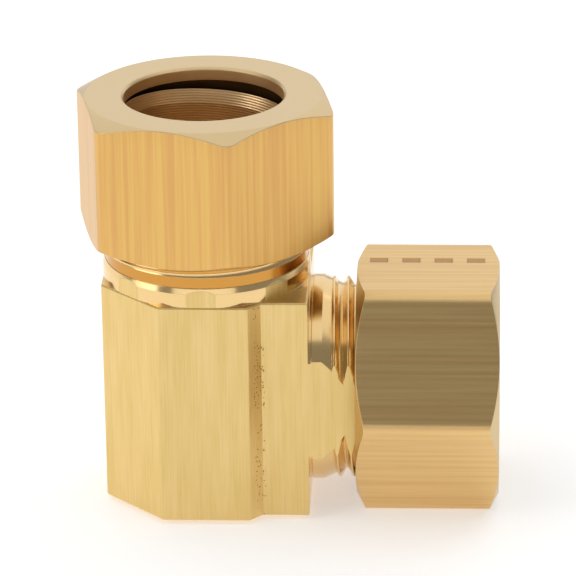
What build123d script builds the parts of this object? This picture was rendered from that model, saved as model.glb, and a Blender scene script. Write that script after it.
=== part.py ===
from build123d import *
from math import cos, radians, tan
import os

# A brass compression elbow with two equal ports, one up (+Z) and one sideways (+X).
# Millimetres. The origin is on the flat bottom face, under the upright port's axis.

os.makedirs("parts", exist_ok=True)

# ---- tube, and the bores that take it --------------------------------------------
tube_diameter = 15.875
tube_clearance = 0.05                  # each side of the tube, in the socket, sleeve and nut
tube_stop = 1.6375                     # ledge at the bottom of each socket
bore_radius = tube_diameter / 2 + tube_clearance
waterway_radius = bore_radius - tube_stop

# ---- sleeves -----------------------------------------------------------------------
sleeve_wall = 0.8625
sleeve_length = 6.6
sleeve_nose_drop = 0.39                # how much the outside narrows at each end
sleeve_nose_length = 1.2
sleeve_flare = 0.31                    # how much the bore widens at each end
sleeve_flare_length = 1.4
sleeve_insertion = 1.5                 # how far the sleeve's end is inside the arm's mouth
sleeve_lean = 4                        # the loose sleeve leans by this many degrees
top_lean_direction = 25                # low side, from +X
side_lean_direction = 250              # low side, from +Y
sleeve_radius = bore_radius + sleeve_wall

# ---- seat in the arm's mouth, and the arm's thread (18 turns to the inch, right hand)
seat_clearance = 0.25                  # round the sleeve, where the seat cone opens
seat_half_angle = 12
mouth_wall = 0.295                     # from the seat's mouth to the thread root
thread_pitch = 25.4 / 18
thread_depth = 0.613 * thread_pitch
thread_crest_width = thread_pitch / 8
flank_slope = tan(radians(30))
top_thread_phase = 2.41                # height above the shoulder where a crest passes local +X
side_thread_phase = 2.03
seat_mouth_radius = sleeve_radius + seat_clearance
thread_root_radius = seat_mouth_radius + mouth_wall
thread_crest_radius = thread_root_radius + thread_depth

# ---- arms ----------------------------------------------------------------------------
arm_length = 11.5                      # from the body's shoulder to the arm's end
top_neck_step = 0.02                   # upright neck above the thread's crest
side_neck_step = 0.19                  # sideways neck above the thread's crest
side_neck_length = 1.35
collar_step = 0.22                     # turned collar round the foot of the upright neck
collar_height = 2.0
collar_chamfer = 0.17
collar_chamfer_height = 0.6
relief_step = 0.1                      # shallow groove at the foot of the sideways neck
relief_width = 0.3
runout_angle = 25                      # cone from each neck down to the thread root
arm_end_chamfer = 0.6
socket_depth = 11.2                    # from the arm's end to the stop that the tube meets
top_neck_radius = thread_crest_radius + top_neck_step
side_neck_radius = thread_crest_radius + side_neck_step
collar_radius = top_neck_radius + collar_step
relief_radius = side_neck_radius - relief_step

# ---- body: one extruded bar section ------------------------------------------------
facet_inset = 0.1                      # barrel's facets inside the collar's turned surface
barrel_facet_end = 4.57                # from the upright axis to the end of the front facet
boss_step = 1.37                       # boss flats set back from the barrel's facets
boss_step_run = 1.26                   # length of the slope between them
boss_reach = 0.05                      # boss's end face beyond the barrel's facets
body_wall = 1.1                        # body above and below the sideways neck
body_edge_break = 0.15
body_corner_radius = 0.3
barrel_apothem = collar_radius - facet_inset
octagon_half_side = barrel_apothem * tan(radians(22.5))
boss_half_thickness = barrel_apothem - boss_step
boss_start = barrel_facet_end + boss_step_run
boss_end = barrel_apothem + boss_reach
body_height = 2 * (side_neck_radius + body_wall)
side_axis_height = body_height / 2

# ---- nuts ----------------------------------------------------------------------------
flank_clearance = 0.11                 # along the axis, each side of the arm's thread
crest_clearance = 0.19                 # nut's groove beyond the arm's crest
root_clearance = 0.23                  # nut's crest inside the arm's root
nut_wall = 1.455                       # from the groove's bottom to the flats
hex_corner_radius = 1.7
nut_chamfer_angle = 28
nut_face_inset = 0.1                   # end face's rim inside the flats
lip_length = 1.37                      # the nut's end ring, round the tube
lip_chamfer = 0.26
shoulder_angle = 15                    # the nut's inner shoulder, from square
thread_overrun = 2.1                   # nut's thread beyond the arm's end
nut_mouth_chamfer = 0.5
engagement = 7.05                      # how far the arm's end is inside the top nut
side_nut_slack = 0.25                  # the side nut is screwed on less by this much
head_room = 0.83                       # top sleeve's end to the nut's end ring
neck_room = 1.35                       # upright neck's end to the nut's inner end
top_nut_turn = -16.7                   # one corner, from +X
side_nut_turn = 1                      # one corner, from +Y
nut_minor_radius = thread_root_radius + root_clearance
nut_groove_radius = thread_crest_radius + crest_clearance
hex_across_flats = 2 * (nut_groove_radius + nut_wall)
nut_length = engagement + sleeve_length - sleeve_insertion + head_room + lip_length
nut_thread_length = engagement + thread_overrun
top_nut_gap = arm_length - engagement  # from the body's shoulder to the nut's inner end
side_nut_gap = top_nut_gap + side_nut_slack
top_neck_length = top_nut_gap - neck_room

overlap = 0.05                         # how far a thread ridge is sunk into what it joins

# Local frames of the arms: z runs outward along the port, from the body's shoulder.
top_port = Plane(origin=(0, 0, body_height), x_dir=(1, 0, 0), z_dir=(0, 0, 1))
side_port = Plane(origin=(boss_end, 0, side_axis_height), x_dir=(0, 1, 0), z_dir=(1, 0, 0))


def turned(points):
    """Solid of revolution about Z from (radius, height) points."""
    outline = make_face(Plane.XZ * Polyline(*points, close=True))
    return revolve(outline, Axis.Z)


def helical_ridge(phase, start, end, inner_radius, outer_radius, inner_width, outer_width):
    """Ridge of a right-hand thread about Z that covers the heights from start to end."""
    turns_below = int((phase - start) // thread_pitch) + 2
    foot = phase - turns_below * thread_pitch
    path = Helix(thread_pitch, end + thread_pitch - foot, inner_radius, center=(0, 0, foot))
    section = Plane(origin=path @ 0, x_dir=(1, 0, 0), z_dir=path % 0)
    depth = outer_radius - inner_radius
    outline = Polyline(
        (0, -inner_width / 2),
        (depth, -outer_width / 2),
        (depth, outer_width / 2),
        (0, inner_width / 2),
        close=True,
    )
    return sweep(make_face(section * outline), path=path, is_frenet=True)


def ridge_width(radius):
    """Width along the axis of the arm's thread at one radius."""
    return thread_crest_width + 2 * (thread_crest_radius - radius) * flank_slope


def threaded_arm(foot, neck_radius, neck_length, phase):
    """Foot, neck, run-out cone and thread of one arm, standing on z = 0."""
    thread_start = neck_length + (neck_radius - thread_root_radius) / tan(radians(runout_angle))
    beyond_end = arm_length + 3 * thread_pitch
    core = turned(
        [
            (0, 0),
            *foot,
            (neck_radius, neck_length),
            (thread_root_radius, thread_start),
            (thread_root_radius, beyond_end),
            (0, beyond_end),
        ]
    )
    inner = thread_root_radius - overlap
    ridge = helical_ridge(
        phase,
        thread_start,
        arm_length,
        inner,
        thread_crest_radius,
        ridge_width(inner),
        thread_crest_width,
    )
    chamfer_start = arm_length - arm_end_chamfer
    limit = turned(
        [
            (0, 0),
            (collar_radius + 1, 0),
            (collar_radius + 1, neck_length),
            (thread_crest_radius + 1, chamfer_start - 1),
            (thread_crest_radius - arm_end_chamfer, arm_length),
            (0, arm_length),
        ]
    )
    return (core + ridge) & limit


def port_cutter(depth_to_centre):
    """What the tube and the water need of one arm: seat cone, socket and waterway."""
    seat_depth = (seat_mouth_radius - bore_radius) / tan(radians(seat_half_angle))
    mouth_rise = 1
    mouth_radius = seat_mouth_radius + mouth_rise * tan(radians(seat_half_angle))
    socket_end = arm_length - socket_depth
    return turned(
        [
            (0, arm_length + mouth_rise),
            (mouth_radius, arm_length + mouth_rise),
            (bore_radius, arm_length - seat_depth),
            (bore_radius, socket_end),
            (waterway_radius, socket_end),
            (waterway_radius, -depth_to_centre),
            (0, -depth_to_centre),
        ]
    )


def barrel_section():
    """Plan of the bar: five sides of an octagon round the upright axis, and the boss."""
    return make_face(
        Polyline(
            (barrel_facet_end, -barrel_apothem),
            (boss_start, -boss_half_thickness),
            (boss_end, -boss_half_thickness),
            (boss_end, boss_half_thickness),
            (boss_start, boss_half_thickness),
            (barrel_facet_end, barrel_apothem),
            (-octagon_half_side, barrel_apothem),
            (-barrel_apothem, octagon_half_side),
            (-barrel_apothem, -octagon_half_side),
            (-octagon_half_side, -barrel_apothem),
            close=True,
        )
    )


def elbow_body():
    """Bar section with both arms turned, threaded and bored on it."""
    section = barrel_section()
    block = extrude(section, body_height)
    upright = block.edges().filter_by(Axis.Z)
    corners = upright.filter_by(lambda edge: edge.center().X < boss_start - overlap)
    block = fillet(corners, body_corner_radius)
    ends = block.faces().filter_by(Axis.Z)
    block = chamfer(ends.edges(), body_edge_break)
    collar = [
        (collar_radius, 0),
        (collar_radius, collar_height - collar_chamfer_height),
        (collar_radius - collar_chamfer, collar_height),
        (top_neck_radius, collar_height),
    ]
    top_arm = threaded_arm(collar, top_neck_radius, top_neck_length, top_thread_phase)
    top_arm = (top_port * top_arm) & extrude(section, body_height + arm_length)
    relief = [
        (relief_radius, 0),
        (relief_radius, relief_width),
        (side_neck_radius, relief_width),
    ]
    side_arm = threaded_arm(relief, side_neck_radius, side_neck_length, side_thread_phase)
    side_arm = side_port * side_arm
    flats = Box(4 * arm_length, 2 * boss_half_thickness, 4 * body_height)
    side_arm = side_arm & (Pos(boss_end, 0, side_axis_height) * flats)
    body = block + top_arm + side_arm
    body -= top_port * port_cutter(body_height - side_axis_height + waterway_radius)
    body -= side_port * port_cutter(boss_end)
    return body


def hex_nut(port, gap, turn, phase):
    """One nut, in its place on the arm of one port."""
    apothem = hex_across_flats / 2
    face_radius = apothem - nut_face_inset
    end = gap + nut_length
    corner = apothem / cos(radians(30))
    prism = extrude(Pos(0, 0, gap) * Rot(0, 0, turn) * RegularPolygon(corner, 6), nut_length)
    prism = fillet(prism.edges().filter_by(Axis.Z), hex_corner_radius)
    slope = tan(radians(nut_chamfer_angle))
    reach = corner + 1
    chamfer_drop = (reach - face_radius) * slope
    envelope = turned(
        [
            (0, gap),
            (face_radius, gap),
            (reach, gap + chamfer_drop),
            (reach, end - chamfer_drop),
            (face_radius, end),
            (0, end),
        ]
    )
    lip_end = end - lip_length
    shoulder_drop = (nut_minor_radius - bore_radius) * tan(radians(shoulder_angle))
    bore = turned(
        [
            (0, gap - 1),
            (nut_groove_radius + nut_mouth_chamfer + 1, gap - 1),
            (nut_minor_radius, gap + nut_groove_radius + nut_mouth_chamfer - nut_minor_radius),
            (nut_minor_radius, lip_end - shoulder_drop),
            (bore_radius, lip_end),
            (bore_radius, end - lip_chamfer),
            (bore_radius + lip_chamfer + 1, end + 1),
            (0, end + 1),
        ]
    )
    inner = nut_minor_radius - overlap
    groove_inner_width = ridge_width(inner) + 2 * flank_clearance
    groove_outer_width = ridge_width(nut_groove_radius) + 2 * flank_clearance
    groove = helical_ridge(
        phase,
        gap,
        gap + nut_thread_length - thread_pitch,
        inner,
        nut_groove_radius,
        groove_inner_width,
        groove_outer_width,
    )
    return port * ((prism & envelope) - groove - bore)


def sleeve(port, lean_direction):
    """One loose compression sleeve, leaning in the mouth of its arm."""
    nose_radius = sleeve_radius - sleeve_nose_drop
    flare_radius = bore_radius + sleeve_flare
    ring = turned(
        [
            (flare_radius, 0),
            (nose_radius, 0),
            (sleeve_radius, sleeve_nose_length),
            (sleeve_radius, sleeve_length - sleeve_nose_length),
            (nose_radius, sleeve_length),
            (flare_radius, sleeve_length),
            (bore_radius, sleeve_length - sleeve_flare_length),
            (bore_radius, sleeve_flare_length),
        ]
    )
    middle = arm_length - sleeve_insertion + sleeve_length / 2
    leaning = Rot(0, 0, lean_direction) * Rot(0, sleeve_lean, 0) * Pos(0, 0, -sleeve_length / 2)
    return port * Pos(0, 0, middle) * leaning * ring


pieces = {
    "elbow_body": elbow_body(),
    "top_nut": hex_nut(top_port, top_nut_gap, top_nut_turn, top_thread_phase),
    "side_nut": hex_nut(side_port, side_nut_gap, side_nut_turn, side_thread_phase),
    "top_sleeve": sleeve(top_port, top_lean_direction),
    "side_sleeve": sleeve(side_port, side_lean_direction),
}

for name, piece in pieces.items():
    export_step(piece, f"parts/{name}.step")
    print(name, round(piece.volume, 2), "mm3", len(piece.solids()), "solid", piece.is_valid)
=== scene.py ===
# %% [markdown]
# # A brass compression elbow
#
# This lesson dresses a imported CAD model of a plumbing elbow. The body keeps its CAD mesh and gets
# a better metal. The two nuts and the two loose sleeves are made again as numpy surfaces, because
# their softened edges, turned faces and tool rings are what the eye reads as machined brass.
# Lengths are written in millimetres and become metres in one place.

import math

import bpy
import numpy as np
from mathutils import Matrix, Vector


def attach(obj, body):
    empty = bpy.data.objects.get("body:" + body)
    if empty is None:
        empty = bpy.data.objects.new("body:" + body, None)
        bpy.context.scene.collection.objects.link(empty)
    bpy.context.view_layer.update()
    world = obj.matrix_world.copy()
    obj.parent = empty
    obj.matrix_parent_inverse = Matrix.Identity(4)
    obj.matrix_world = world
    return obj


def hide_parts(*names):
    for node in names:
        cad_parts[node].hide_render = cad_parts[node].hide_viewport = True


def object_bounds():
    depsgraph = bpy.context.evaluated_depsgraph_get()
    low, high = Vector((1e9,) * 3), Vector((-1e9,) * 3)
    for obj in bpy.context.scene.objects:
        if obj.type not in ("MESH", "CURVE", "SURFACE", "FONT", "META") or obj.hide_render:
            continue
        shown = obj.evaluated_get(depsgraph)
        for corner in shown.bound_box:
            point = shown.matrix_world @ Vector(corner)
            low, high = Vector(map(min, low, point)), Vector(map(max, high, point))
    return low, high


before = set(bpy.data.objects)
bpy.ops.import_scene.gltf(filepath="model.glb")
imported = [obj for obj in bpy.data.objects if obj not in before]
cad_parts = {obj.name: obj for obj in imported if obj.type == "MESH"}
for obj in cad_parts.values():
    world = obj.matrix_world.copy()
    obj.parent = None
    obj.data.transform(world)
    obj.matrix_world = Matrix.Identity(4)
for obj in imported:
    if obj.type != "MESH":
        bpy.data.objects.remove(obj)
cad_low, cad_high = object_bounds()
MM = 0.001
print("CAD box in mm:", [round(v / MM, 2) for v in (*cad_low, *cad_high)])

# %% [markdown]
# ## Where the ports are
#
# Both arms are the same design, so every piece on them is made once in a port's own frame: its
# z axis runs out along the port from the body's shoulder. Two matrices put that frame in place.

# %% The two port frames
SHOULDER_TOP = 23.1
SHOULDER_SIDE = 10.45
AXIS_HEIGHT = 11.55
print("ports leave the body", SHOULDER_TOP, "mm up and", SHOULDER_SIDE, "mm sideways")

TOP_PORT = Matrix(((1, 0, 0, 0), (0, 1, 0, 0), (0, 0, 1, SHOULDER_TOP), (0, 0, 0, 1)))
SIDE_PORT = Matrix(((0, 0, 1, SHOULDER_SIDE), (1, 0, 0, 0), (0, 1, 0, AXIS_HEIGHT), (0, 0, 0, 1)))


def placed(points, port):
    """Points of an (n, 3) array in a port's frame, in mm, moved to the object's frame in metres."""
    m = np.array(port)
    return (points @ m[:3, :3].T + m[:3, 3]) * MM


# %% [markdown]
# ## Camera
#
# A long lens from a little above and a little to the right, as for a catalogue. The camera is
# described the way its operator would: how steeply it looks down, how far it swings round the
# object, how much it leans, and where it stands.

# %% Set up the camera
CAMERA_PLACE = Vector((26.56, -375.07, 171.85)) * MM
LOOK_DOWN = math.radians(21.87)
SWING = math.radians(2.813)
LEAN = math.radians(-0.74)

level_reach = math.cos(LOOK_DOWN)
forward = Vector(
    (-math.sin(SWING) * level_reach, math.cos(SWING) * level_reach, -math.sin(LOOK_DOWN))
)
level = Vector((math.cos(SWING), math.sin(SWING), 0))
upright = level.cross(forward)
right = level * math.cos(LEAN) + upright * math.sin(LEAN)
up = upright * math.cos(LEAN) - level * math.sin(LEAN)

camera_data = bpy.data.cameras.new("camera")
camera_data.sensor_width = 36
camera_data.lens = 250.25
camera_data.clip_start = 0.01
camera_data.clip_end = 20
camera = bpy.data.objects.new("camera", camera_data)
bpy.context.scene.collection.objects.link(camera)
camera.matrix_world = Matrix(
    (
        (right.x, up.x, -forward.x, CAMERA_PLACE.x),
        (right.y, up.y, -forward.y, CAMERA_PLACE.y),
        (right.z, up.z, -forward.z, CAMERA_PLACE.z),
        (0, 0, 0, 1),
    )
)
bpy.context.scene.camera = camera
print("camera is", round(CAMERA_PLACE.length, 3), "m from the origin")

# %% [markdown]
# ## Helpers for surfaces
#
# Every new piece is a ring-shaped surface: a closed outline of (radius, height) points is carried
# round the port's axis, and the outline may change with the angle. Such a surface is a torus in
# its connections, so its faces close up both ways and there is no pole or seam to mend.


# %% Carry an outline round the axis
def carried_round(name, angles, radius, height, port, finish):
    """Closed mesh whose vertex (i, j) stands at angle i: x = r cos a, y = r sin a, z = h.

    angles has one value a column; radius and height are (columns, outline points) arrays. The
    outline runs up the outside and down the inside, which makes the faces point outwards. finish
    is the material's number for the faces above each outline point.
    """
    columns, rows = radius.shape
    x = radius * np.cos(angles)[:, None]
    y = radius * np.sin(angles)[:, None]
    points = placed(np.stack([x, y, height], axis=-1).reshape(-1, 3), port)
    i, j = np.meshgrid(np.arange(columns), np.arange(rows), indexing="ij")
    i2, j2 = (i + 1) % columns, (j + 1) % rows
    quads = np.stack([i * rows + j, i2 * rows + j, i2 * rows + j2, i * rows + j2], axis=-1)
    mesh = bpy.data.meshes.new(name)
    mesh.from_pydata(points.tolist(), [], quads.reshape(-1, 4).tolist())
    mesh.polygons.foreach_set("material_index", np.tile(finish, columns).astype(np.int32))
    mesh.shade_smooth()
    piece = bpy.data.objects.new(name, mesh)
    bpy.context.scene.collection.objects.link(piece)
    print(name, "has", len(mesh.polygons), "faces")
    return piece


# %% Round an outline's corners
def softened(corners, softness, run_steps, arc_steps=5):
    """Outline through corner points whose corners are rounded, for every column at once.

    corners is a list of (radius, height) pairs, each a number or one value a column. At each
    corner the outline leaves the straight run at a distance softness[k] before it and joins the
    next run as far after it, along a quadratic curve pulled to the corner. run_steps[k] spaces
    extra points along the straight run that follows corner k. Returns radius and height arrays,
    and each point's run number, which is half a number less inside the curve before that run.
    """
    width = max(np.size(c) for pair in corners for c in pair)
    p = np.array([[np.broadcast_to(c, width) for c in pair] for pair in corners], float)
    out, runs = [], []
    for k in range(len(p)):
        before, here, after = p[k - 1], p[k], p[(k + 1) % len(p)]
        to_before = (before - here) / np.hypot(*(before - here))
        to_after = (after - here) / np.hypot(*(after - here))
        start, end = here + to_before * softness[k], here + to_after * softness[k]
        for t in np.linspace(0, 1, arc_steps):
            out.append((1 - t) ** 2 * start + 2 * t * (1 - t) * here + t**2 * end)
        run_end = after - to_after * softness[(k + 1) % len(p)]
        for t in np.linspace(0, 1, run_steps[k] + 2)[1:-1]:
            out.append((1 - t) * end + t * run_end)
        runs += [k - 0.5] * (arc_steps - 1) + [k] * (run_steps[k] + 1)
    out = np.array(out)
    return out[:, 0].T.copy(), out[:, 1].T.copy(), np.array(runs)


# %% [markdown]
# ## The hexagon nuts
#
# A real nut like this is parted off drawn hexagon bar in a lathe. The six flats keep the bar's
# fine lengthwise lines, the bar's corners are softly rounded, and a turning tool chamfers both
# ends, so the edge between chamfer and flat is a row of scallops. The nut could be a hexagon
# prism cut by two cones with booleans, but then its edges would be knife sharp and its mesh
# untidy. Here each column of the mesh knows its own distance to the hexagon, and its outline turns
# at exactly that radius, so the scallops come out as clean lines with a small soft edge.

# %% Sizes of the nut
FLATS = 23.81 / 2
CORNER_ROUND = 1.7
NUT_LENGTH = 14.35
CHAMFER = math.tan(math.radians(28))
FACE_RADIUS = FLATS - 0.1
BORE = 7.9875
LIP = 1.37
LIP_CHAMFER = 0.26
MINOR = 9.625
GROOVE = 10.45
MOUTH = GROOVE + 0.5
THREAD_LENGTH = 9.15
THREAD_FADE = 0.6
PITCH = 25.4 / 18
FLANK = math.tan(math.radians(30))
GROOVE_HALF_WIDTH = 0.565
SHOULDER_SLOPE = math.tan(math.radians(15))
print("nut is", 2 * FLATS, "mm across flats and", NUT_LENGTH, "mm long")


# %% Distance from the axis to the hexagon
def hexagon(angles, corner_at):
    """Radius of a hexagon with rounded corners, one corner at the angle corner_at.

    Near the middle of a flat the radius is flats / cos(angle from the flat's middle). Near a
    corner it is where the ray meets the rounding circle: d cos b + sqrt(R^2 - d^2 sin^2 b), with d
    the circle's distance from the axis and b the angle from the corner.
    """
    b = (angles - corner_at + np.pi / 6) % (np.pi / 3) - np.pi / 6
    from_middle = np.pi / 6 - np.abs(b)
    circle = (FLATS - CORNER_ROUND) / math.cos(math.pi / 6)
    touch = math.atan2((FLATS - CORNER_ROUND) * math.tan(math.pi / 6), FLATS)
    under_root = np.maximum(CORNER_ROUND**2 - (circle * np.sin(b)) ** 2, 0)
    on_corner = circle * np.cos(b) + np.sqrt(under_root)
    return np.where(from_middle < touch, FLATS / np.cos(from_middle), on_corner)


# %% Columns that crowd together at the corners
def nut_columns(corner_at, each=64):
    """Angles round the nut, closer together at the six corners: a - k sin(6 a), k under 1/6."""
    even = np.arange(6 * each) / (6 * each) * 2 * np.pi
    return even - 0.11 * np.sin(6 * even) + corner_at


# %% The screw thread inside the nut
def thread_groove(angles, heights, phase):
    """How far the helical groove goes outside the thread's crest at each angle and height.

    The distance along the axis to the nearest turn is folded to half a pitch each way; the
    depth falls from full at the groove's middle to none at its edge along straight flanks.
    """
    along = heights - phase - angles[:, None] / (2 * np.pi) * PITCH
    along = np.abs((along + PITCH / 2) % PITCH - PITCH / 2)
    depth = (GROOVE_HALF_WIDTH - along) / FLANK
    return np.clip(depth, 0, GROOVE - MINOR)


# %% Make a nut
# The tapped thread and the shoulder behind the lip take a dark finish that is painted shade.
DRAWN, TURNED, BORED, TAPPED_SHADE = 0, 1, 2, 3
NUT_FINISH = {1: DRAWN, 5: BORED, 6: TAPPED_SHADE, 7: TAPPED_SHADE}


def hexagon_nut(name, port, gap, corner_at, phase):
    """Nut whose inner end stands gap mm above the shoulder, with a corner at corner_at radians.

    Where the thread is, the radius is the larger of the plain bore's and the groove's.
    """
    a = nut_columns(corner_at)
    hexa = hexagon(a, corner_at)
    low, high = gap, gap + NUT_LENGTH
    scallop = (hexa - FACE_RADIUS) * CHAMFER
    lip_end = high - LIP
    cone_end = lip_end - (MINOR - BORE) * SHOULDER_SLOPE
    corners = [
        (FACE_RADIUS, low),
        (hexa, low + scallop),
        (hexa, high - scallop),
        (FACE_RADIUS, high),
        (BORE + LIP_CHAMFER, high),
        (BORE, high - LIP_CHAMFER),
        (BORE, lip_end),
        (MINOR, cone_end),
        (MINOR, low + MOUTH - MINOR),
        (MOUTH, low),
    ]
    softness = [0.06, 0.05, 0.05, 0.08, 0.05, 0.04, 0.04, 0.1, 0.1, 0.05]
    run_steps = [1, 6, 1, 3, 1, 2, 2, 110, 18, 2]
    radius, height, runs = softened(corners, softness, run_steps)
    threaded = (runs > 6.5) & (runs <= 8)
    fade = np.clip((low + THREAD_LENGTH - height) / THREAD_FADE, 0, 1)
    grooved = MINOR + thread_groove(a, height, phase) * fade
    radius = np.where(threaded, np.maximum(radius, grooved), radius)
    finish = np.array([NUT_FINISH.get(math.ceil(run), TURNED) for run in runs])
    return carried_round(name, a, radius, height, port, finish)


top_nut = hexagon_nut(
    "top_nut_skin", TOP_PORT, gap=4.45, corner_at=math.radians(-16.7), phase=2.41
)
side_nut = hexagon_nut("side_nut_skin", SIDE_PORT, gap=4.7, corner_at=math.radians(1), phase=2.03)

# %% [markdown]
# ## The loose sleeves
#
# The sleeve is a short turned ring that the nut squeezes onto the tube. It lies loose and leans a
# little, and its bore still shows the tool's rings. The rings are modelled, not painted, because
# they catch the light one by one through the nut's hole. A real tool leaves them about 0.1 mm
# apart, too fine to show, so they are drawn 0.26 mm apart.

# %% Sizes of a sleeve
SLEEVE_LENGTH = 6.6
SLEEVE_RADIUS = 8.85
SLEEVE_START = 10.0
SLEEVE_LEAN = math.radians(4)
NOSE = 0.39
NOSE_LENGTH = 1.2
FLARE = 0.31
FLARE_LENGTH = 1.4
RING_PITCH = 0.26
RING_DEPTH = 0.016


# %% The tool's rings in the bore
def tool_rings(heights):
    """Height of the tool's rings along the bore: the square of a cosine, so tops are rounded."""
    return RING_DEPTH * np.cos(np.pi * heights / RING_PITCH) ** 2


# %% Make a sleeve
def loose_sleeve(name, port, lean_towards):
    """Sleeve in the mouth of the arm, leaning with its low side towards the angle lean_towards."""
    a = np.arange(192) / 192 * 2 * np.pi
    nose = SLEEVE_RADIUS - NOSE
    corners = [
        (nose + 0 * a, 0),
        (SLEEVE_RADIUS, NOSE_LENGTH),
        (SLEEVE_RADIUS, SLEEVE_LENGTH - NOSE_LENGTH),
        (nose, SLEEVE_LENGTH),
        (BORE + FLARE, SLEEVE_LENGTH),
        (BORE, SLEEVE_LENGTH - FLARE_LENGTH),
        (BORE, FLARE_LENGTH),
        (BORE + FLARE, 0),
    ]
    softness = [0.05, 0.05, 0.05, 0.09, 0.06, 0.05, 0.05, 0.05]
    radius, height, runs = softened(corners, softness, [3, 3, 3, 1, 36, 100, 36, 1])
    in_bore = (runs >= 4) & (runs <= 6)
    radius = radius + in_bore * (RING_DEPTH - tool_rings(height))
    lean = Matrix.Rotation(lean_towards, 4, "Z") @ Matrix.Rotation(SLEEVE_LEAN, 4, "Y")
    middle = Matrix.Translation((0, 0, SLEEVE_START + SLEEVE_LENGTH / 2))
    place = port @ middle @ lean @ Matrix.Translation((0, 0, -SLEEVE_LENGTH / 2))
    return carried_round(name, a, radius, height, place, np.zeros(len(runs)))


top_sleeve = loose_sleeve("top_sleeve_skin", TOP_PORT, lean_towards=math.radians(25))
side_sleeve = loose_sleeve("side_sleeve_skin", SIDE_PORT, lean_towards=math.radians(250))

# %% [markdown]
# ## Join the pieces to the moving bodies
#
# Each new surface stands for one CAD part and rides on that part's body, so it turns and slides
# with the joint. The CAD part stays underneath, hidden, for collisions.

# %% Put each piece on its body
for piece, node, rides_on, slot in (
    (top_nut, "top_nut", "top_nut_screw", "nut_brass"),
    (side_nut, "side_nut", "side_nut_screw", "nut_brass"),
    (top_sleeve, "top_sleeve", "top_sleeve_turn", "sleeve_brass"),
    (side_sleeve, "side_sleeve", "side_sleeve_turn", "sleeve_brass"),
):
    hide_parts(node)
    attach(piece, rides_on)
    print(piece.name, "rides on", rides_on)

# %% [markdown]
# ## Materials: colours and nodes
#
# Everything is yellow brass, about two thirds copper and one third zinc, and what differs is how
# each surface was made. Brass is a metal, so its colour lives in the reflection: metallic is 1 and
# the IOR keeps its default. Colours are sRGB hex values made linear in one place.


# %% Colours and nodes
def srgb(text):
    """Linear colour, with alpha 1, from an sRGB hex value such as 'C8A050'."""
    channels = [int(text[k : k + 2], 16) / 255 for k in (0, 2, 4)]
    linear = [c / 12.92 if c <= 0.04045 else ((c + 0.055) / 1.055) ** 2.4 for c in channels]
    return (*linear, 1.0)


def add_node(tree, kind, links=(), **settings):
    """Adds a node. links pairs an input's name or number with a value, a socket or a node.

    A node given as a value stands for its first output that is in use.
    """
    node = tree.nodes.new(kind)
    for key, value in settings.items():
        setattr(node, key, value)
    for socket, value in links:
        if isinstance(value, bpy.types.Node):
            value = next(output for output in value.outputs if output.enabled)
        if isinstance(value, bpy.types.NodeSocket):
            tree.links.new(value, node.inputs[socket])
        else:
            node.inputs[socket].default_value = value
    return node


# %% Start a brass
def brass(name):
    """New metal material: gives the material, its node tree, its shader and object coordinates."""
    material = bpy.data.materials.new(name)
    material.use_nodes = True
    tree = material.node_tree
    shader = tree.nodes["Principled BSDF"]
    shader.inputs["Metallic"].default_value = 1.0
    place = add_node(tree, "ShaderNodeTexCoord").outputs["Object"]
    return material, tree, shader, place


def per_mm(across, along, axis):
    """Noise scales in cells a metre, for cells of these sizes in mm across and along an axis."""
    return [1 / ((along if k == axis else across) * MM) for k in range(3)]


# %% [markdown]
# ## Drawn brass, on the nuts' flats
#
# The bar was pulled through a hexagonal die, which leaves lines along its length: very fine ones
# that soften the reflection, and broader faint streaks that are a little redder or paler. The fine
# lines of a real bar are some hundredths of a millimetre apart, too fine to show, so they are
# drawn 0.14 mm apart. One nut carries four short pressed bars, a plain stand-in for lettering.
# They are so shallow that a bump shows them well: a distance to a rectangle is turned into a
# height with sloped walls, and repeated along the nut.

# %% Sizes of the pressed bars
BAR_FIRST, BAR_SPACING, BAR_ACROSS = 17.3, 3.27, 1.8
BAR_HALF_LENGTH, BAR_HALF_WIDTH, BAR_WALL = 0.85, 0.5, 0.16
BAR_DEPTH, LINE_DEPTH = 0.198, 0.009
print("bars are", 2 * BAR_HALF_LENGTH, "x", 2 * BAR_HALF_WIDTH, "mm and", BAR_SPACING, "mm apart")


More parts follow.
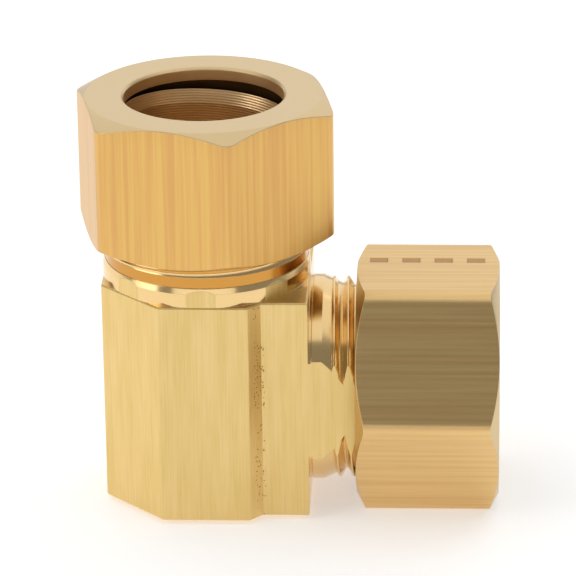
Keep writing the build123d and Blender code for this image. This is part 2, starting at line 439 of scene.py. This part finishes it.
# %% Drawn brass
def drawn_brass(name, axis, dark, pale, stamped=False):
    """Brass with lines along one axis, and with the four pressed bars if it is stamped."""
    material, tree, shader, place = brass(name)
    fine_scale, broad_scale = per_mm(0.14, 11, axis), per_mm(0.45, 26, axis)
    fine_place = add_node(tree, "ShaderNodeMapping", [(0, place), ("Scale", fine_scale)])
    fine = add_node(tree, "ShaderNodeTexNoise", [(0, fine_place), ("Scale", 1), ("Detail", 2)])
    broad_place = add_node(tree, "ShaderNodeMapping", [(0, place), ("Scale", broad_scale)])
    broad = add_node(tree, "ShaderNodeTexNoise", [(0, broad_place), ("Scale", 1), ("Detail", 3)])
    streak = add_node(
        tree, "ShaderNodeMapRange", [(0, broad), ("From Min", 0.36), ("From Max", 0.62)]
    )
    colour = add_node(
        tree,
        "ShaderNodeMix",
        [(0, streak), (6, srgb(dark)), (7, srgb(pale))],
        data_type="RGBA",
    )
    rough = add_node(tree, "ShaderNodeMapRange", [(0, fine), ("To Min", 0.26), ("To Max", 0.42)])
    tree.links.new(rough.outputs[0], shader.inputs["Roughness"])
    height = fine
    if stamped:
        xyz = add_node(tree, "ShaderNodeSeparateXYZ", [(0, place)])
        pace = add_node(
            tree,
            "ShaderNodeMapRange",
            [
                (0, xyz.outputs["X"]),
                ("From Min", (BAR_FIRST - BAR_SPACING / 2) * MM),
                ("From Max", (BAR_FIRST + BAR_SPACING / 2) * MM),
            ],
            clamp=False,
        )
        turn = add_node(tree, "ShaderNodeMath", [(0, pace)], operation="FRACT")
        centred = add_node(tree, "ShaderNodeMath", [(0, turn), (1, 0.5)], operation="SUBTRACT")
        along = add_node(tree, "ShaderNodeMath", [(0, centred)], operation="ABSOLUTE")
        past_end = add_node(
            tree,
            "ShaderNodeMath",
            [(0, along), (1, BAR_SPACING * MM), (2, -BAR_HALF_LENGTH * MM)],
            operation="MULTIPLY_ADD",
        )
        offset = add_node(
            tree,
            "ShaderNodeMath",
            [(0, xyz.outputs["Y"]), (1, BAR_ACROSS * MM)],
            operation="SUBTRACT",
        )
        distance = add_node(tree, "ShaderNodeMath", [(0, offset)], operation="ABSOLUTE")
        past_side = add_node(
            tree, "ShaderNodeMath", [(0, distance), (1, BAR_HALF_WIDTH * MM)], operation="SUBTRACT"
        )
        outside = add_node(
            tree, "ShaderNodeMath", [(0, past_end), (1, past_side)], operation="MAXIMUM"
        )
        mark = add_node(
            tree,
            "ShaderNodeMapRange",
            [(0, outside), ("From Min", BAR_WALL * MM), ("From Max", -BAR_WALL * MM)],
            interpolation_type="SMOOTHSTEP",
        )
        in_row = add_node(
            tree, "ShaderNodeMath", [(0, pace), (1, 2.0), (2, 2.0)], operation="COMPARE"
        )
        on_top = add_node(
            tree,
            "ShaderNodeMath",
            [(0, xyz.outputs["Z"]), (1, (AXIS_HEIGHT + FLATS - 0.5) * MM)],
            operation="GREATER_THAN",
        )
        mark = add_node(tree, "ShaderNodeMath", [(0, mark), (1, in_row)], operation="MULTIPLY")
        mark = add_node(tree, "ShaderNodeMath", [(0, mark), (1, on_top)], operation="MULTIPLY")
        height = add_node(
            tree,
            "ShaderNodeMath",
            [(0, mark), (1, -BAR_DEPTH / LINE_DEPTH), (2, fine)],
            operation="MULTIPLY_ADD",
        )
        # Inside the bars the colour is painted darker, as painted shade in the pressed recess.
        colour = add_node(
            tree,
            "ShaderNodeMix",
            [(0, mark), (6, colour.outputs[2]), (7, srgb("B8884C"))],
            data_type="RGBA",
        )
    tree.links.new(colour.outputs[2], shader.inputs["Base Color"])
    bump = add_node(
        tree,
        "ShaderNodeBump",
        [("Height", height), ("Strength", 1.0), ("Distance", LINE_DEPTH * MM)],
    )
    tree.links.new(bump.outputs[0], shader.inputs["Normal"])
    return material


# %% [markdown]
# ## Turned brass, on the nuts' ends
#
# A lathe tool leaves rings round the axis. On a finished end face they are too fine to count, so
# they are drawn 0.25 mm apart and very shallow, which only stretches the reflection a little. The
# ends are coloured paler than the drawn flats, and even all over: partly the colour of fresh turned
# brass, partly a painted sheen, the whitening that a face seen at a grazing angle shows.


# %% Turned brass
WAVE_LENGTH = 0.314


def turned_brass(name, axis, colour, roughness, ring_mm, depth_mm):
    """Brass with rings round one port's axis, ring_mm apart and depth_mm deep.

    A Wave texture of scale 1 repeats every WAVE_LENGTH, so its scale is that over the spacing.
    """
    material, tree, shader, place = brass(name)
    shader.inputs["Base Color"].default_value = srgb(colour)
    shader.inputs["Roughness"].default_value = roughness
    centre = (0, 0, 0) if axis == 2 else (0, 0, -AXIS_HEIGHT * MM)
    centred = add_node(tree, "ShaderNodeMapping", [(0, place), ("Location", centre)])
    ring_scale = WAVE_LENGTH / (ring_mm * MM)
    rings = add_node(
        tree,
        "ShaderNodeTexWave",
        [(0, centred), ("Scale", ring_scale), ("Distortion", 0.6), ("Detail", 1.0)],
        wave_type="RINGS",
        rings_direction="XYZ"[axis],
    )
    bump = add_node(
        tree, "ShaderNodeBump", [("Height", rings), ("Strength", 1.0), ("Distance", depth_mm * MM)]
    )
    tree.links.new(bump.outputs[0], shader.inputs["Normal"])
    return material


# %% [markdown]
# ## Bored and tapped brass, inside the nuts and sleeves
#
# A boring tool leaves a duller skin than an outside cut, and cutting oil dries on it in cloudy
# patches. The tapped thread and the shoulder behind the lip are painted dark brown, a painted
# shade for the deep gap above a sleeve, so that gap reads as black. A noise texture some
# millimetres wide mixes a clean and a stained colour, so one function makes all three of these
# finishes.


# %% Bored brass
def bored_brass(name, clean, stained, roughness):
    """Brass inside a bore, with cloudy patches of stain some millimetres wide."""
    material, tree, shader, place = brass(name)
    patches = 1 / (2.5 * MM)
    cloudy = add_node(tree, "ShaderNodeTexNoise", [(0, place), ("Scale", patches), ("Detail", 3)])
    tint = add_node(
        tree,
        "ShaderNodeMix",
        [(0, cloudy), (6, srgb(stained)), (7, srgb(clean))],
        data_type="RGBA",
    )
    tree.links.new(tint.outputs[2], shader.inputs["Base Color"])
    shader.inputs["Roughness"].default_value = roughness
    return material


# %% [markdown]
# ## Extruded and turned brass, on the body
#
# The body is cut from bar that was extruded in the elbow's own outline. Its flats keep a matt skin
# with lines up and down and a few small pits beside the step, while everything the lathe touched,
# the shoulder, collar, necks and threads, is glossy. One mesh holds both, so the material works
# out where the tool has been: beyond a shoulder, but not on the flats that the tool just missed.
# The narrow neck under the upright nut is painted a deeper orange, as painted shade from the nut.
# Machined edges are never quite sharp, and the Bevel node rounds them in the shading by a tenth
# of a millimetre. The skin's real lines are some hundredths of a millimetre apart, so they are
# drawn 0.16 mm apart to show.

# %% Where the body's flats are
BARREL_FLAT = 10.4
BOSS_FLAT = 9.03
JUST = 0.005
PIT_SPACING = 0.3125
PIT_CLUSTER = 2.0
PITTED_MIDDLE, PITTED_HALF = 5.6, 0.5
NECK_MIDDLE, NECK_HALF = SHOULDER_TOP + 2.56, 0.54
SKIN_DEPTH = 0.008
EDGE_ROUND = 0.1
print("pits lie up to", PITTED_HALF, "mm from x =", PITTED_MIDDLE, "mm")


# %% Body brass
def body_brass(name):
    """Matt extruded skin, with glossy metal where the arms were turned.

    The distance to the octagon's flats is the largest of x, y and their slanted mean, all taken
    without sign; a point is turned where it is inside them and beyond a shoulder.
    """
    material, tree, shader, place = brass(name)
    xyz = add_node(tree, "ShaderNodeSeparateXYZ", [(0, place)])
    size = add_node(tree, "ShaderNodeVectorMath", [(0, place)], operation="ABSOLUTE")
    wide = add_node(tree, "ShaderNodeSeparateXYZ", [(0, size)])
    slanted = add_node(
        tree,
        "ShaderNodeVectorMath",
        [(0, size), (1, (0.70711, 0.70711, 0))],
        operation="DOT_PRODUCT",
    ).outputs["Value"]
    reach = add_node(
        tree,
        "ShaderNodeMath",
        [(0, wide.outputs["X"]), (1, wide.outputs["Y"])],
        operation="MAXIMUM",
    )
    reach = add_node(tree, "ShaderNodeMath", [(0, reach), (1, slanted)], operation="MAXIMUM")
    off_facets = add_node(
        tree,
        "ShaderNodeMath",
        [(0, reach), (1, (BARREL_FLAT - JUST) * MM)],
        operation="LESS_THAN",
    )
    above = add_node(
        tree,
        "ShaderNodeMath",
        [(0, xyz.outputs["Z"]), (1, (SHOULDER_TOP - JUST) * MM)],
        operation="GREATER_THAN",
    )
    top_turned = add_node(
        tree, "ShaderNodeMath", [(0, off_facets), (1, above)], operation="MULTIPLY"
    )
    off_sides = add_node(
        tree,
        "ShaderNodeMath",
        [(0, wide.outputs["Y"]), (1, (BOSS_FLAT - JUST) * MM)],
        operation="LESS_THAN",
    )
    beyond = add_node(
        tree,
        "ShaderNodeMath",
        [(0, xyz.outputs["X"]), (1, (SHOULDER_SIDE - JUST) * MM)],
        operation="GREATER_THAN",
    )
    side_turned = add_node(
        tree, "ShaderNodeMath", [(0, off_sides), (1, beyond)], operation="MULTIPLY"
    )
    tooled = add_node(
        tree, "ShaderNodeMath", [(0, top_turned), (1, side_turned)], operation="MAXIMUM"
    )

    line_scale, streak_scale = per_mm(0.16, 7, 2), per_mm(1.1, 9, 2)
    line_place = add_node(tree, "ShaderNodeMapping", [(0, place), ("Scale", line_scale)])
    lines = add_node(tree, "ShaderNodeTexNoise", [(0, line_place), ("Scale", 1), ("Detail", 3)])
    streak_place = add_node(tree, "ShaderNodeMapping", [(0, place), ("Scale", streak_scale)])
    streaks = add_node(tree, "ShaderNodeTexNoise", [(0, streak_place), ("Scale", 1), ("Detail", 4)])
    grain = add_node(tree, "ShaderNodeMath", [(0, lines), (1, streaks)], operation="ADD")
    tone = add_node(tree, "ShaderNodeMapRange", [(0, grain), ("From Min", 0.7), ("From Max", 1.3)])
    skin = add_node(
        tree,
        "ShaderNodeMix",
        [(0, tone), (6, srgb("E0C27A")), (7, srgb("EFD192"))],
        data_type="RGBA",
    )

    pit_scale, cluster_scale = 1 / (PIT_SPACING * MM), 1 / (PIT_CLUSTER * MM)
    pit_cells = add_node(tree, "ShaderNodeTexVoronoi", [(0, place), ("Scale", pit_scale)])
    pit = add_node(
        tree, "ShaderNodeMapRange", [(0, pit_cells), ("From Min", 0.16), ("From Max", 0.3)]
    )
    near_step = add_node(
        tree,
        "ShaderNodeMath",
        [(0, xyz.outputs["X"]), (1, PITTED_MIDDLE * MM), (2, PITTED_HALF * MM)],
        operation="COMPARE",
    )
    clusters = add_node(
        tree, "ShaderNodeTexNoise", [(0, place), ("Scale", cluster_scale), ("Detail", 1)]
    )
    clustered = add_node(
        tree, "ShaderNodeMath", [(0, clusters), (1, 0.44)], operation="GREATER_THAN"
    )
    pitted = add_node(
        tree, "ShaderNodeMath", [(0, near_step), (1, clustered)], operation="MULTIPLY"
    )
    untooled = add_node(tree, "ShaderNodeMath", [(0, 1.0), (1, tooled)], operation="SUBTRACT")
    pitted = add_node(tree, "ShaderNodeMath", [(0, pitted), (1, untooled)], operation="MULTIPLY")
    clean = add_node(tree, "ShaderNodeMath", [(0, 1.0), (1, pitted)], operation="SUBTRACT")
    smooth = add_node(tree, "ShaderNodeMath", [(0, pit), (1, clean)], operation="MAXIMUM")
    skin = add_node(
        tree, "ShaderNodeMix", [(0, smooth), (6, srgb("8A6A38")), (7, skin)], data_type="RGBA"
    )

    # The band of the neck under the upright nut is painted a deeper orange, as painted shade from
    # the nut.
    neck_shade = add_node(
        tree,
        "ShaderNodeMath",
        [(0, xyz.outputs["Z"]), (1, NECK_MIDDLE * MM), (2, NECK_HALF * MM)],
        operation="COMPARE",
    )
    tool_colour_and_shade = add_node(
        tree,
        "ShaderNodeMix",
        [(0, neck_shade), (6, srgb("EDCB90")), (7, srgb("CF9548"))],
        data_type="RGBA",
    )
    colour = add_node(
        tree, "ShaderNodeMix", [(0, tooled), (6, skin), (7, tool_colour_and_shade)], data_type="RGBA"
    )
    tree.links.new(colour.outputs[2], shader.inputs["Base Color"])
    matt = add_node(tree, "ShaderNodeMapRange", [(0, lines), ("To Min", 0.36), ("To Max", 0.52)])
    gloss = add_node(tree, "ShaderNodeMix", [(0, tooled), (2, matt), (3, 0.17)], data_type="FLOAT")
    tree.links.new(gloss.outputs[0], shader.inputs["Roughness"])

    depth = add_node(tree, "ShaderNodeMath", [(0, lines), (1, untooled)], operation="MULTIPLY")
    depth = add_node(
        tree, "ShaderNodeMath", [(0, smooth), (1, 3.0), (2, depth)], operation="MULTIPLY_ADD"
    )
    edges = add_node(tree, "ShaderNodeBevel", [("Radius", EDGE_ROUND * MM)], samples=6)
    bump = add_node(
        tree,
        "ShaderNodeBump",
        [("Height", depth), ("Strength", 1.0), ("Distance", SKIN_DEPTH * MM), ("Normal", edges)],
    )
    tree.links.new(bump.outputs[0], shader.inputs["Normal"])
    return material


# %% [markdown]
# ## Give every piece its brass
#
# A nut has four material slots, in the order of the numbers that its faces carry: drawn, turned,
# bored and tapped, the last painted dark as shade. The body's one mesh takes one material in every
# slot it has.

# %% Give every piece its brass
top_drawn = drawn_brass("drawn_hexagon_brass_upright", 2, "DAA866", "E2B86C")
side_drawn = drawn_brass("drawn_hexagon_brass_stamped", 0, "DDB67C", "E5C488", stamped=True)
# The end faces' pale colour is partly fresh turned brass and partly painted sheen.
face_cut_and_sheen = {"colour": "D8BF92", "roughness": 0.32, "ring_mm": 0.25, "depth_mm": 0.002}
top_turned_face = turned_brass("turned_brass_upright", 2, **face_cut_and_sheen)
side_turned_face = turned_brass("turned_brass_sideways", 0, **face_cut_and_sheen)
bored = bored_brass("bored_brass", clean="F6D6A2", stained="E8C08A", roughness=0.45)
# The tapped finish is dark brown as painted shade; only its cloudy patches are stain.
tapped_shade = bored_brass("tapped_brass_painted_shade", clean="7E5C34", stained="4E3820", roughness=0.5)
ringed = bored_brass("ring_turned_brass", clean="FFE2B4", stained="F0C890", roughness=0.36)
for nut, drawn, turned in (
    (top_nut, top_drawn, top_turned_face),
    (side_nut, side_drawn, side_turned_face),
):
    for material in (drawn, turned, bored, tapped_shade):
        nut.data.materials.append(material)
for ring in (top_sleeve, side_sleeve):
    ring.data.materials.append(ringed)
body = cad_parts["elbow_body"]
matt_and_turned = body_brass("extruded_and_turned_brass")
for material_slot in body.material_slots:
    material_slot.material = matt_and_turned
print("the body wears", matt_and_turned.name)

# %% [markdown]
# ## Floor
#
# A sheet of white card that also glows a little, as a light table does, so the shadow under the
# fitting stays faint. It lies under the lowest point, an edge of the side nut's bottom flat.

# %% Floor
bpy.ops.mesh.primitive_plane_add(size=6, location=(0, 0, cad_low[2]))
floor = bpy.context.object
floor.name = "floor"
card = bpy.data.materials.new("matt_white_card")
card.use_nodes = True
card_shader = card.node_tree.nodes["Principled BSDF"]
card_shader.inputs["Base Color"].default_value = srgb("F2F2F2")
card_shader.inputs["Roughness"].default_value = 0.9
card_shader.inputs["Emission Color"].default_value = (1, 1, 1, 1)
card_shader.inputs["Emission Strength"].default_value = 0.42
floor.data.materials.append(card)
print("the floor lies at", round(cad_low[2] / MM, 3), "mm")

# %% [markdown]
# ## Light
#
# Polished metal shows its surroundings, so each lamp is placed for what reflects it. The backdrop
# lamp stands low behind and whitens every face that looks up, the overhead lamp lights the card
# that the upright faces mirror, and the left lamp gives the necks their pale streak. Nothing
# stands in front above the camera, which keeps the upper front flat of the side nut dark. A long
# low lamp in front lights the collar's small cone, whose slope mirrors just that strip.


# %% Lights
def softbox(name, place, size, power, aim=(0.008, 0, 0.02)):
    """Rectangular area light at place, in metres, facing aim."""
    light = bpy.data.lights.new(name, "AREA")
    light.shape = "RECTANGLE"
    light.size, light.size_y = size
    light.energy = power
    lamp = bpy.data.objects.new(name, light)
    bpy.context.scene.collection.objects.link(lamp)
    lamp.location = place
    lamp.rotation_mode = "QUATERNION"
    lamp.rotation_quaternion = (Vector(aim) - Vector(place)).to_track_quat("-Z", "Y")
    print(name, "lamp gives", power, "W")


softbox("overhead", (0, 0.15, 1.1), (2.2, 1.6), 7.8)
softbox("backdrop", (0, 1.3, 0.65), (2.4, 1.1), 6.2)
softbox("left", (-1.2, -0.5, 0.5), (0.8, 0.9), 4)
softbox("front", (0, -1.2, 0.23), (1.6, 0.14), 0.8)

world = bpy.data.worlds.new("studio")
bpy.context.scene.world = world
world.use_nodes = True
world.node_tree.nodes["Background"].inputs["Color"].default_value = (1, 1, 1, 1)
world.node_tree.nodes["Background"].inputs["Strength"].default_value = 0.28
bpy.context.scene.view_settings.view_transform = "Standard"
